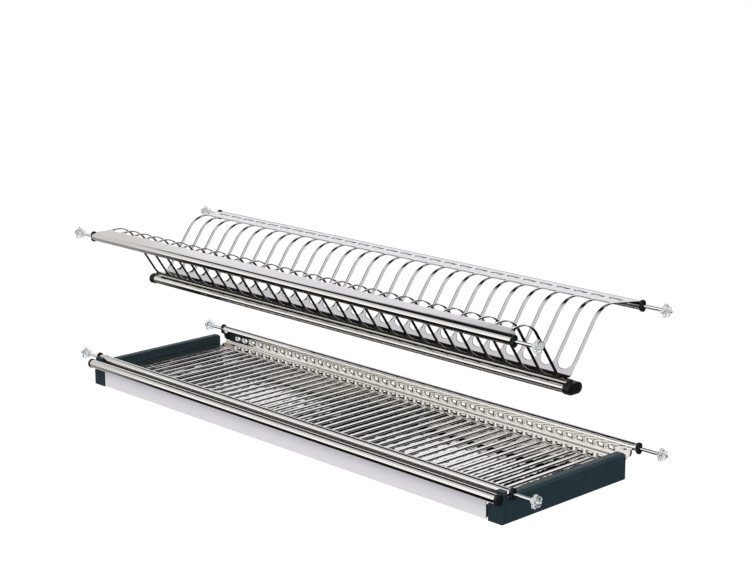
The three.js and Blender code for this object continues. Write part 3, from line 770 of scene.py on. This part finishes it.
# The base rail's caps are black mouldings pushed into its ends, one millimetre proud all round, with a tongue
# up to the trough and a shallow dish in the outer face.
base_cap = dict(thickness=0.009, lip=0.001, tongue=0.003, plug=0.008)
cap_start = base_half + seat
cap_end = cap_start + base_cap["thickness"]
tongue = yz_box(spine_front, spine_back, base_centre.y, rail_high.z)
for side, facing in sides.items():
    end_cap = solid(f"base_cap_{side}", base_oval(base_cap["lip"], facing * cap_start, facing * cap_end))
    dish_floor = facing * (cap_end - base_cap["lip"])
    join(end_cap, base_oval(-base_size["wall"] - seat, facing * (base_half - base_cap["plug"]), dish_floor))
    join(end_cap, (tongue, along_x, facing * cap_start, facing * (cap_start + base_cap["tongue"])))
    cut(end_cap, base_oval(-base_size["wall"], dish_floor, facing * (cap_end + base_cap["lip"])))
    ease_edges(end_cap, 0.0005, segments=3)
    settle(end_cap, black_plastic, "rack", "black_plastic", f"base_rail_cap_{side}")

# The shelf plate is pressed from the same sheet: a floor with long drain slots, and a low wall in front and
# behind, the rear one pierced with ovals. The walls' tops are rolled round the lower rail tubes. Slots and
# ovals have curled edges, and the underside and cut edges are painted near black as painted shade.
shelf_floor_drop = 0.0155
slot_count = 44
slot_pitch = 0.0166
slot = dict(width=0.0086, front_inset=0.026, rear_inset=0.0285)
wall_oval = dict(length=0.009, height=0.0042, drop=0.0072)
shelf_fold = 0.003
slot_curl = dict(width=0.0012, depth=0.0011)
wall_oval_curl = dict(width=0.0014, depth=0.0034)
side_inner = 0.381
groove_depth = 0.003
wall_tab = 0.009
tab_corner = 0.005

lower_front = rail_axes["lower_front"]
lower_rear = rail_axes["lower_rear"]
front_wall = lower_front.x + roll_radius
rear_wall = lower_rear.x - roll_radius
shelf_floor = lower_rear.y - shelf_floor_drop
wall_foot = [
    Vector((front_wall, lower_front.y)),
    Vector((front_wall, shelf_floor)),
    Vector((rear_wall, shelf_floor)),
    Vector((rear_wall, lower_rear.y)),
]
shelf_roll = arc(lower_front, roll_radius, roll_turn, 0, roll_steps)
shelf_line = [
    *shelf_roll,
    *fold(*wall_foot[:3], shelf_fold),
    *fold(*wall_foot[1:], shelf_fold),
    *arc(lower_rear, roll_radius, math.pi, math.pi - roll_turn, roll_steps),
]
shelf_lengths, on_shelf = follow(shelf_line)
wall_tops = (shelf_lengths[len(shelf_roll) - 1], shelf_lengths[-len(shelf_roll)])
wall_oval_length = wall_tops[1] - wall_oval["drop"]
shelf_holes = [
    dict(
        half=slot["width"] / 2,
        low=length_where(shelf_line, shelf_lengths, lower_front.x + slot["front_inset"], wall_tops[0]),
        high=length_where(shelf_line, shelf_lengths, lower_rear.x - slot["rear_inset"], wall_tops[0]),
        low_corner=slot["width"] / 2,
        high_corner=slot["width"] / 2,
        curl=slot_curl,
    ),
    dict(
        half=wall_oval["length"] / 2,
        low=wall_oval_length - wall_oval["height"] / 2,
        high=wall_oval_length + wall_oval["height"] / 2,
        low_corner=wall_oval["height"] / 2,
        high_corner=wall_oval["height"] / 2,
        curl=wall_oval_curl,
    ),
]
shelf_net = bmesh.new()
slot_middles = [(i - (slot_count - 1) / 2) * slot_pitch for i in range(slot_count)]
shelf_rows = net_sheet(shelf_net, on_shelf, shelf_lengths, shelf_holes, slot_middles, slot_pitch / 2, steps=4)

# Past the last slot the rolls run on to the rails' ends, the front wall stops at the side piece, the floor
# enters its groove, and the rear wall runs on behind it as a rounded tab
last_cell = slot_count / 2 * slot_pitch
wall_end = side_inner - seat
floor_end = side_inner + groove_depth - seat
tab_end = side_inner + wall_tab
folds = (wall_tops[0] + shelf_floor_drop, wall_tops[1] - shelf_floor_drop)


def tab_edge(row):
    """Where a row of the rear wall's tab ends."""
    height = on_shelf(0, row).z - shelf_floor - shelf_fold
    short = max(tab_corner - height, 0)
    return tab_end - tab_corner + math.sqrt(tab_corner**2 - short**2) if height > 0 else floor_end


def between(start, end):
    """The shelf's rows from one length along its line to another."""
    return [row for row in shelf_rows if start <= row <= end]


def even_columns(start, end_of_row, count):
    """A net's plain columns, evenly spaced in each row from one X to the row's end."""
    return lambda row: [(start + (end_of_row(row) - start) * i / count, 0.0) for i in range(count + 1)]


both_ends(shelf_net, on_shelf, shelf_rows, even_columns(last_cell, lambda row: wall_end, count=6))
for first, last, edge in (
    (0, wall_tops[0], lambda row: rail_half),
    (*folds, lambda row: floor_end),
    (folds[1], wall_tops[1], tab_edge),
    (wall_tops[1], shelf_lengths[-1], lambda row: rail_half),
):
    both_ends(shelf_net, on_shelf, between(first, last), even_columns(wall_end, edge, count=4))
shelf = sheet_piece("shelf_plate_sheet", shelf_net)
settle(shelf, polished_steel, "rack", "stainless", "shelf_plate")
# The shelf's underside and cut edges take the near-black steel of painted shade
shelf.data.materials.append(painted_shade_steel)

# The side pieces are moulded in slate-blue plastic. Each snaps over the front rail, takes the shelf's edge in
# a groove, and carries the drip tray on the runner along its foot. The CAD solids keep their shape here.
slate_plastic = finish_with(
    "slate side plastic",
    moulded,
    {
        "Color": (0.012, 0.031, 0.039, 1),
        "Rubbed Color": (0.1, 0.14, 0.165, 1),
        "Roughness": 0.32,
        "Grain Depth": 0.000012,
        "Edge Width": 0.0012,
    },
    metallic=0.0,
    Specular_IOR_Level=0.25,
)


def dress(node, material):
    """Gives a CAD solid its material, and eased edges that catch the light."""
    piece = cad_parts[node]
    piece.data.materials.clear()
    piece.data.materials.append(material)
    weld = piece.modifiers.new("one skin", "WELD")
    weld.merge_threshold = weld_distance
    ease_edges(piece, 0.0004, sharp=40, clamped=True)


for side in sides:
    dress(f"side_piece_{side}", slate_plastic)

# The drip tray is a shallow pan of thin polished steel that catches the water below the slots. Pressing
# leaves long soft ripples along its floor, and it slides forward on the side pieces' runners.
pan_low, pan_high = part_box("drip_tray")
pan_wall = 0.0008
pan_corner = 0.006


def rounded_plan(x0, x1, y0, y1, radius=0.0):
    """A rectangle with rounded corners, or with square ones for no radius."""
    steps = 12 if radius else 0
    quarter = math.pi / 2
    corners = [
        (x0 + radius, y0 + radius, -2 * quarter),
        (x1 - radius, y0 + radius, -quarter),
        (x1 - radius, y1 - radius, 0),
        (x0 + radius, y1 - radius, quarter),
    ]
    return [
        point
        for x, y, start in corners
        for point in arc(Vector((x, y)), radius, start, start + quarter, steps)
    ]


def upward(a, b, depth):
    """Places an outline in the plane of X and Y, pushed up."""
    return Vector((a, b, depth))


def pan_outline(inset):
    """The pan seen from above, drawn in all round by the inset."""
    x0, y0 = pan_low.x + inset, pan_low.y + inset
    x1, y1 = pan_high.x - inset, pan_high.y - inset
    return rounded_plan(x0, x1, y0, y1, pan_corner - inset)


pan = solid("drip_tray_pan", (pan_outline(0), upward, pan_low.z, pan_high.z))
cut(pan, (pan_outline(pan_wall), upward, pan_low.z + pan_wall, pan_high.z + pan_wall))
ease_edges(pan, 0.0003)
# The pan's steel is painted a little darker than the rack's: painted shade for the pan lying under the shelf
pan_values_with_painted_shade = {
    "Bright": (0.72, 0.705, 0.69, 1),
    "Dull": (0.6, 0.585, 0.56, 1),
    "Least Haze": 0.015,
    "Most Haze": 0.04,
    "Waves": 0.0003,
    "Waves per Metre": 55.0,
    "Wave Stretch": (0.45, 1.0, 1.0),
}
pan_steel_with_painted_shade = finish_with("polished pan steel", polish, pan_values_with_painted_shade, metallic=1.0)
settle(pan, pan_steel_with_painted_shade, "tray", "stainless", "drip_tray")

# The tray's front is one roll-formed strip: a flat fascia in front of the pan, whose top edge curls forward
# into a round lip as long as the rails. It is what a hand pulls to slide the tray out.
front_sheet = 0.0012
lip_radius = 0.0054
lip_turn = math.radians(300)
lip_steps = 40
face_low, face_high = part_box("tray_front")
lip_half = face_high.x
lip_centre = Vector((face_low.y + front_sheet / 2 + lip_radius, face_high.z - front_sheet / 2 - lip_radius))
fascia_y = lip_centre.x + lip_radius


def sheet_outline(line, thickness):
    """The closed outline of a sheet that follows a line through the middle of its thickness."""
    sharpest = 0.7  # the least cosine, so that a sharp corner's mitre stays short
    left, right = [], []
    for i, point in enumerate(line):
        before = line[max(i - 1, 0)]
        after = line[min(i + 1, len(line) - 1)]
        along = (after - before).normalized()
        step = (point - before if i else after - point).normalized()
        reach = thickness / 2 / max(abs(along.dot(step)), sharpest)
        across = Vector((-along.y, along.x)) * reach
        left.append(point + across)
        right.append(point - across)
    return left + right[::-1]


front_line = [Vector((fascia_y, face_low.z)), *arc(lip_centre, lip_radius, 0, lip_turn, lip_steps)]
tray_front = solid("tray_front_strip", (sheet_outline(front_line, front_sheet), along_x, -lip_half, lip_half))
fascia_end = pan_high.x + seat
fascia_top = lip_centre.y - lip_radius - front_sheet
fascia_trim = yz_box(fascia_y - front_sheet, fascia_y + front_sheet, face_low.z - sheet, fascia_top)
cut(tray_front, (fascia_trim, along_x, fascia_end, past))
cut(tray_front, (fascia_trim, along_x, -past, -fascia_end))
ease_edges(tray_front, 0.0002)
satin_values = {
    "Bright": (0.93, 0.91, 0.96, 1),
    "Dull": (0.86, 0.84, 0.89, 1),
    "Least Haze": 0.36,
    "Most Haze": 0.46,
}
satin_steel = finish_with("satin fascia steel", polish, satin_values, metallic=0.12)
settle(tray_front, polished_steel, "tray", "stainless", "tray_front")
tray_front.data.materials.append(satin_steel)

# The fascia's two flat sides are satin, and the lip stays polished
for face in tray_front.data.polygons:
    if face.center.z < lip_centre.y - lip_radius / 2 and abs(face.normal.y) > abs(face.normal.z):
        face.material_index = 1

# The lip's caps are round black mouldings. Each has a plug that is pushed into an end of the lip and a head a
# little wider than the lip.
lip_cap = dict(thickness=0.004, sleeve=0.0007, plug=0.007, steps=40)
lip_cap_radius = lip_radius + front_sheet / 2 + lip_cap["sleeve"]
lip_plug_radius = lip_radius - front_sheet / 2 - seat
for side, facing in sides.items():
    face = (lip_half + seat) * facing
    outer = face + facing * lip_cap["thickness"]
    inner = facing * (lip_half - lip_cap["plug"])
    head = rod_along_x(lip_cap_radius, face, outer, lip_cap["steps"], lip_centre)
    round_cap = solid(f"tray_lip_cap_{side}", head)
    join(round_cap, rod_along_x(lip_plug_radius, inner, (face + outer) / 2, centre=lip_centre))
    ease_edges(round_cap, 0.0008, segments=3)
    settle(round_cap, black_plastic, "tray", "black_plastic", f"lip_cap_{side}")

# The studio has a plain white floor well below the rack, which hangs as it does between a cabinet's sides.
# The floor glows a little for the camera, also through clear plastic, so that it is as white as the backdrop
# but keeps the rack's shadow. Metal doesn't mirror it.
floor_depth = 0.55
floor_reach = 30
floor_shade = 0.6
floor_glow = 0.45
floor_plan = rounded_plan(-floor_reach, floor_reach, -floor_reach, floor_reach)
floor = solid("studio_floor", (floor_plan, upward, -floor_depth - sheet, -floor_depth))
floor.visible_glossy = False
white_floor = bpy.data.materials.new("white studio floor")
white_floor.use_nodes = True
floor_nodes = white_floor.node_tree
floor_shader = floor_nodes.nodes["Principled BSDF"]
floor_shader.inputs["Base Color"].default_value = (floor_shade, floor_shade, floor_shade, 1)
floor_shader.inputs["Roughness"].default_value = 0.9
floor_shader.inputs["Emission Color"].default_value = (1, 1, 1, 1)


def seen_by_camera(tree):
    """One for rays that come from the camera, straight or through clear plastic."""
    ray = add_node(tree, "LightPath").outputs
    rays = {0: ray["Is Camera Ray"], 1: ray["Is Transmission Ray"]}
    return add_node(tree, "Math", rays, operation="MAXIMUM").outputs[0]


glow = add_node(floor_nodes, "Math", {0: seen_by_camera(floor_nodes), 1: floor_glow}, operation="MULTIPLY")
floor_nodes.links.new(glow.outputs[0], floor_shader.inputs["Emission Strength"])
floor.data.materials.append(white_floor)

# Metal mirrors the studio: a white wall in front of the rack, a pale one behind it, and black cloths
# overhead, round its foot and at its far left. The cloths draw the dark lines along every polished curve.
# The camera sees plain white behind the rack, and an even soft light falls on the rack from all round.
soft_level = 0.95
black = (0.01, 0.01, 0.01)
world = bpy.data.worlds.new("white studio")
bpy.context.scene.world = world
world.use_nodes = True
sky = world.node_tree
direction = add_node(sky, "TexCoord").outputs["Generated"]
part = add_node(sky, "SeparateXYZ", {0: direction}).outputs
across, back, up = part["X"], part["Y"], part["Z"]


def fade(source, start, end):
    """One from the end on, nothing before the start."""
    limits = {"Value": source, "From Min": start, "From Max": end}
    return add_node(sky, "MapRange", limits, interpolation_type="SMOOTHSTEP").outputs[0]


def leaning(lean):
    """The height, moved by a share of the depth: the line along which a leaning wall or cloth ends."""
    return add_node(sky, "Math", {0: back, 1: lean, 2: up}, operation="MULTIPLY_ADD").outputs[0]


def where_all(*fades):
    """Where all of the fades are one."""
    place = fades[0]
    for other in fades[1:]:
        place = add_node(sky, "Math", {0: place, 1: other}, operation="MULTIPLY").outputs[0]
    return place


behind = fade(back, -0.1, 0.1)
far_left = fade(across, -0.77, -0.8)
bright_strip = where_all(behind, fade(across, -0.79, -0.75), fade(up, 0.23, 0.27), fade(up, 0.42, 0.37))
wall_in_front = where_all(fade(leaning(1.15), -0.05, -0.15), fade(back, -0.1, -0.2))
tan_height = where_all(fade(up, 0.36, 0.33), fade(up, 0.22, 0.25))
tan_wall = where_all(tan_height, fade(back, -0.35, -0.5), fade(across, -0.56, -0.68))
below = fade(up, -0.1, -0.2)
cloth_overhead = where_all(fade(up, 0.46, 0.5), fade(back, -0.08, 0.0))
gap_overhead = where_all(fade(up, 0.8, 0.88), fade(back, 0.25, 0.35))
cloth_below = where_all(fade(up, -0.45, -0.55), fade(across, 0.2, 0.0))
cloth_at_front_foot = where_all(fade(up, -0.02, -0.12), fade(leaning(-1.9), 0.0, 0.15), fade(back, 0.1, -0.1))
cloth_at_rear_foot = where_all(fade(up, 0.12, 0.04), fade(back, 0.2, 0.35))
wall_at_left = where_all(far_left, fade(up, -0.2, -0.1))
foot_of_left_wall = where_all(far_left, fade(up, -0.1, -0.2))
cloth_at_left = where_all(fade(across, -0.81, -0.84), fade(up, 0.52, 0.46))

# Each wall or cloth hangs in front of the ones before it
studio = add_node(sky, "RGB").outputs[0]
studio.default_value = (0.78, 0.78, 0.84, 1)
for place, shade in (
    (behind, (0.93, 0.93, 0.99)),
    (bright_strip, (1.25, 1.24, 1.27)),
    (wall_in_front, (1.5, 1.48, 1.45)),
    (tan_wall, (0.5, 0.455, 0.37)),
    (below, (0.3, 0.3, 0.31)),
    (cloth_overhead, black),
    (gap_overhead, (0.8, 0.8, 0.84)),
    (cloth_below, black),
    (cloth_at_front_foot, black),
    (cloth_at_rear_foot, black),
    (wall_at_left, (0.8, 0.785, 0.785)),
    (foot_of_left_wall, (0.4, 0.4, 0.4)),
    (cloth_at_left, black),
):
    studio = add_node(sky, "Mix", {0: place, 6: studio, 7: (*shade, 1)}, data_type="RGBA").outputs[2]

white = (1, 1, 1, 1)
soft_light = add_node(sky, "Background", {"Color": white, "Strength": soft_level}).outputs[0]
reflection = add_node(sky, "Background", {"Color": studio, "Strength": 1.0}).outputs[0]
backdrop = add_node(sky, "Background", {"Color": white, "Strength": 1.0}).outputs[0]
mirrored = add_node(sky, "LightPath").outputs["Is Glossy Ray"]
lit = add_node(sky, "MixShader", {0: mirrored, 1: soft_light, 2: reflection}).outputs[0]
all_rays = add_node(sky, "MixShader", {0: seen_by_camera(sky), 1: lit, 2: backdrop}).outputs[0]
sky.links.new(all_rays, sky.nodes["World Output"].inputs["Surface"])

# Two soft boxes stand in front of the rack, one near its middle and one to its right. They brighten the faces
# turned to the camera and give the floor its shadow. Metal doesn't mirror them, only the studio's walls.
rack_middle = Vector((0, 0, 0.1))


def soft_box(name, azimuth, elevation, distance, size, radiance):
    """A lamp like a stretched cloth, unseen in metal, placed by its azimuth and elevation as seen from the
    rack's middle, and aimed at it."""
    light = bpy.data.lights.new(name, "AREA")
    light.shape = "RECTANGLE"
    light.size, light.size_y = size
    light.energy = radiance * math.pi * size[0] * size[1]
    lamp = bpy.data.objects.new(name, light)
    bpy.context.scene.collection.objects.link(lamp)
    a, e = math.radians(azimuth), math.radians(elevation)
    outward = Vector((math.sin(a) * math.cos(e), -math.cos(a) * math.cos(e), math.sin(e)))
    lamp.location = distance * outward + rack_middle
    lamp.rotation_euler = (-outward).to_track_quat("-Z", "Y").to_euler()
    lamp.visible_glossy = False


soft_box("front soft box", azimuth=12, elevation=50, distance=4.0, size=(2.0, 1.8), radiance=3.0)
soft_box("right soft box", azimuth=75, elevation=40, distance=4.0, size=(2.0, 1.4), radiance=1.2)

# The camera stands to the right in front of the rack and a little above it, as the photograph's did. Its
# place, turn and focal length were fitted to the photograph.
photo_width = 750
sensor = 36
focal_pixels = 1762
camera_place = Vector((1.6401, -1.5100, 0.7213))
azimuth, elevation, roll = math.radians(46.222), math.radians(13.366), math.radians(-0.217)
lens = bpy.data.cameras.new("photograph's view")
lens.sensor_width = sensor
lens.lens = focal_pixels * sensor / photo_width
lens.clip_start = 0.05
camera = bpy.data.objects.new("photograph's view", lens)
bpy.context.scene.collection.objects.link(camera)
camera.rotation_mode = "QUATERNION"
backward = Vector((
    math.sin(azimuth) * math.cos(elevation),
    -math.cos(azimuth) * math.cos(elevation),
    math.sin(elevation),
))
camera.location = camera_place
level_turn = (-backward).to_track_quat("-Z", "Y")
camera.rotation_quaternion = level_turn @ Matrix.Rotation(roll, 3, "Z").to_quaternion()
bpy.context.scene.camera = camera
bpy.context.scene.view_settings.view_transform = "Standard"
